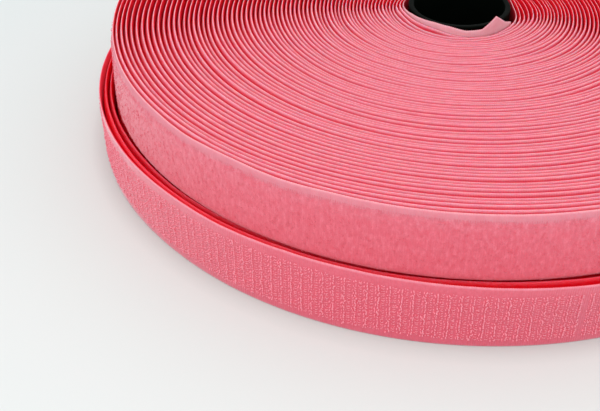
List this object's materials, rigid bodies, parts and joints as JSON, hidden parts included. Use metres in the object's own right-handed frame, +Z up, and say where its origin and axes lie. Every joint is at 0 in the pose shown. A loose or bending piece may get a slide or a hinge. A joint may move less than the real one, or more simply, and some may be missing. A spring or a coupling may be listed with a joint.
{
  "type": "hook and loop tape roll",
  "caption": "Stacked pair of sew-on fastener tape rolls, hook tape below and loop tape above, each wound on a short tube core.",
  "frame": {"origin": "on the hook roll's axis, on the surface that the rolls lie on", "axes": "+Z up along the rolls' axes; +Y towards the side where the free tails lie"},
  "size_m": [0.2249, 0.2257, 0.0457],
  "materials": {
    "hook_tape": "woven nylon ground with rows of small stiff hooks and plain selvedges",
    "loop_tape": "woven nylon ground under a soft brushed loop pile, with plain selvedges",
    "core": "black moulded plastic, satin on its rims"
  },
  "bodies": {
    "hook_core": {"hook_core": "core"},
    "hook_winding": {"hook_tape_inner_pack": "hook_tape", "hook_tape_outer_turns": "hook_tape"},
    "hook_tail": {"hook_tape_tail": "hook_tape"},
    "loop_core": {"loop_core": "core"},
    "loop_winding": {"loop_tape_inner_pack": "loop_tape", "loop_tape_outer_turns": "loop_tape", "loop_tape_inner_turn": "loop_tape"},
    "loop_tail": {"loop_tape_tail": "loop_tape"}
  },
  "joints": [
    {"name": "hook_roll_turn", "type": "hinge", "parent": "hook_core", "child": "hook_winding", "pos_m": [0, 0, 0.01], "axis": [0, 0, 1], "continuous": true},
    {"name": "hook_tail_peel", "type": "hinge", "parent": "hook_winding", "child": "hook_tail", "pos_m": [-0.03889, 0.10684, 0.01], "axis": [0, 0, 1], "range_deg": [0, 90]},
    {"name": "loop_roll_lift", "type": "slide", "parent": "hook_core", "child": "loop_core", "axis": [0, 0, 1], "range_m": [0, 0.08]},
    {"name": "loop_roll_turn", "type": "hinge", "parent": "loop_core", "child": "loop_winding", "pos_m": [0.00032, -0.00261, 0.0303], "axis": [0, 0, 1], "continuous": true},
    {"name": "loop_tail_peel", "type": "hinge", "parent": "loop_winding", "child": "loop_tail", "pos_m": [0.05507, 0.09222, 0.0303], "axis": [0, 0, 1], "range_deg": [0, 90]}
  ]
}
